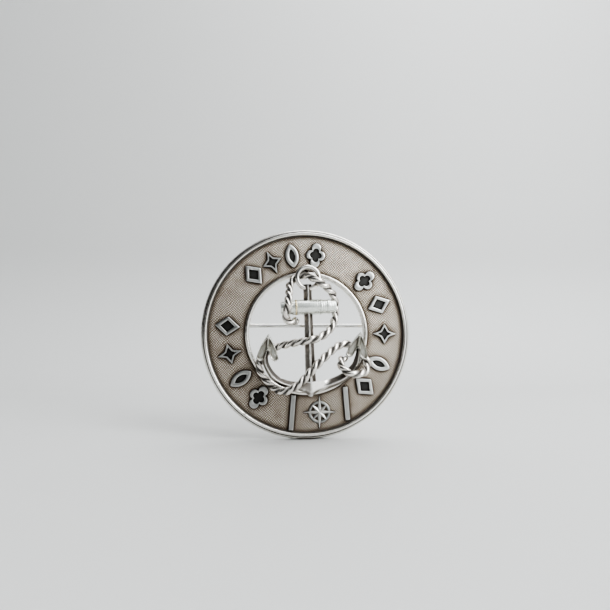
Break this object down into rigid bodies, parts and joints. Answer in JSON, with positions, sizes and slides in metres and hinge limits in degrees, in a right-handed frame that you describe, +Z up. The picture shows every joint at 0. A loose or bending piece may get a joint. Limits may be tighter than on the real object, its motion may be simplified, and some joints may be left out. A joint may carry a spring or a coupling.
{
  "type": "openwork ring badge with an anchor",
  "caption": "Round openwork silver badge with a fouled anchor in front of a bordered ring, worn by a hinged pin and a turning safety catch on its back.",
  "frame": {"origin": "centre of the ring, on the flat back land of the outer rim", "axes": "+Z up as worn, +Y out of the back, so the decorated face looks toward -Y"},
  "size_m": [0.055, 0.0134, 0.055],
  "materials": {
    "silver_field": "stippled, matt, oxidised",
    "silver_rim": "polished on the crest, worn",
    "silver_ornament": "satin tops, blackened recesses",
    "silver_anchor": "satin, blackened recesses",
    "silver_stock": "brushed satin",
    "silver_rope": "twisted wire, blackened grooves",
    "silver_findings": "polished, lightly scratched",
    "pin_wire": "drawn wire, polished"
  },
  "bodies": {
    "badge": {"anchor_arms": "silver_anchor", "anchor_ring": "silver_anchor", "anchor_shank": "silver_anchor", "anchor_stock": "silver_stock", "border_leaf_02": "silver_ornament", "border_leaf_07": "silver_ornament", "border_leaf_12": "silver_ornament", "border_lozenge_04": "silver_ornament", "border_lozenge_05": "silver_ornament", "border_lozenge_10": "silver_ornament", "border_lozenge_13": "silver_ornament", "border_quatrefoil_01": "silver_ornament", "border_quatrefoil_08": "silver_ornament", "border_quatrefoil_09": "silver_ornament", "border_star_03": "silver_ornament", "border_star_06": "silver_ornament", "border_star_11": "silver_ornament", "catch_base": "silver_findings", "catch_cheek_inner": "silver_findings", "catch_cheek_outer": "silver_findings", "compass_ring": "silver_ornament", "compass_star": "silver_ornament", "crown_post": "silver_anchor", "head_post": "silver_anchor", "hinge_base": "silver_findings", "hinge_ear_lower": "silver_findings", "hinge_ear_upper": "silver_findings", "hinge_rivet": "silver_findings", "inner_rim": "silver_rim", "left_fluke": "silver_anchor", "outer_rim": "silver_rim", "panel_bar_left": "silver_ornament", "panel_bar_right": "silver_ornament", "right_fluke": "silver_anchor", "ring_plate": "silver_field", "rope": "silver_rope", "stock_hoop_far_left": "silver_stock", "stock_hoop_far_right": "silver_stock", "stock_hoop_left": "silver_stock", "stock_hoop_right": "silver_stock"},
    "pin": {"pin_stem": "pin_wire"},
    "roller": {"catch_roller": "silver_findings"}
  },
  "joints": [
    {"name": "pin_swing", "type": "hinge", "parent": "badge", "child": "pin", "pos_m": [-0.0204, 0.0022, 0.002], "axis": [0, 0, 1], "range_deg": [0, 100]},
    {"name": "catch_turn", "type": "hinge", "parent": "badge", "child": "roller", "pos_m": [0.0204, 0.0022, 0.002], "axis": [-1, 0, 0], "range_deg": [0, 140]}
  ]
}
